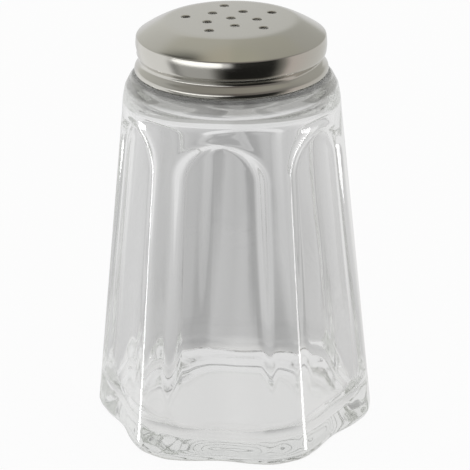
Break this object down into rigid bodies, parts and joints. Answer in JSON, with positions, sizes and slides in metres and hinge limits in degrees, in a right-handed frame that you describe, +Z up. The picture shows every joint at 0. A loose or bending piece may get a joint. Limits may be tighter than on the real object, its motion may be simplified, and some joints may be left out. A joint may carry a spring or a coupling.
{
  "type": "salt shaker",
  "caption": "Tapered moulded-glass salt shaker with arched side panels, a lobed base and a low domed stainless screw cap pierced with round pouring holes.",
  "frame": {"origin": "centre of the base, on the surface that the shaker stands on", "axes": "+Z up along the screw axis; -Y out through the middle of one side panel"},
  "size_m": [0.0698, 0.0648, 0.1039],
  "materials": {
    "jar_glass": "clear, smooth, fire polished",
    "cap_steel": "satin",
    "seal_plastic": "soft matt"
  },
  "bodies": {
    "jar": {"glass_jar": "jar_glass"},
    "seal": {"seal_ring": "seal_plastic"},
    "cap": {"screw_cap": "cap_steel"}
  },
  "joints": [
    {"name": "cap_lift", "type": "slide", "parent": "jar", "child": "seal", "axis": [0, 0, 1], "range_m": [0, 0.0126]},
    {"name": "cap_turn", "type": "hinge", "parent": "seal", "child": "cap", "pos_m": [0, 0, 0.0907], "axis": [0, 0, 1], "range_deg": [0, 1080]}
  ],
  "couplings": [
    {"joint": "cap_lift", "follows": "cap_turn", "m_per_rad": 0.00066845}
  ]
}
